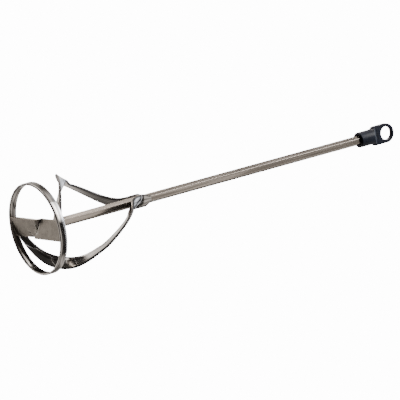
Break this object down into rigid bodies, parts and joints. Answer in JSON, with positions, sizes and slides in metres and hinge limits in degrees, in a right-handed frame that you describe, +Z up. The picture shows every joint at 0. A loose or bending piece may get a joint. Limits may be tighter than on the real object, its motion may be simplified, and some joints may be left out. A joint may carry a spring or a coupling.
{
  "type": "mortar mixing paddle",
  "caption": "Steel mixing paddle: hexagonal drive shaft, twisted blades from the shaft to a tilted crossbar in a bottom ring, and a push-on plastic cap with a hanging eye.",
  "frame": {"origin": "centre of the bottom ring's lower face, on the shaft's axis, where the paddle stands", "axes": "+Z up along the shaft to the hanging cap, X along the crossbar, Y across it"},
  "size_m": [0.085, 0.0894, 0.4185],
  "materials": {
    "plated_shaft": "drawn hexagonal bar, bright plated",
    "plated_strip": "bright plated strip",
    "plated_bar": "satin plated flat bar",
    "weld": "plated weld bead",
    "cap_plastic": "moulded, semi-gloss, near-black navy"
  },
  "bodies": {
    "paddle": {"hex_shaft": "plated_shaft", "bottom_ring": "plated_strip", "crossbar": "plated_bar", "blade_a": "plated_strip", "blade_b": "plated_strip", "hub_weld_a": "weld", "hub_weld_b": "weld", "shaft_foot_weld": "weld", "end_weld_a": "weld", "end_weld_b": "weld", "foot_weld_a": "weld", "foot_weld_b": "weld", "ring_seam_weld": "weld"},
    "cap": {"hanging_cap": "cap_plastic"}
  },
  "joints": [
    {"name": "cap_pull", "type": "slide", "parent": "paddle", "child": "cap", "axis": [0, 0, 1], "range_m": [0, 0.025]}
  ]
}
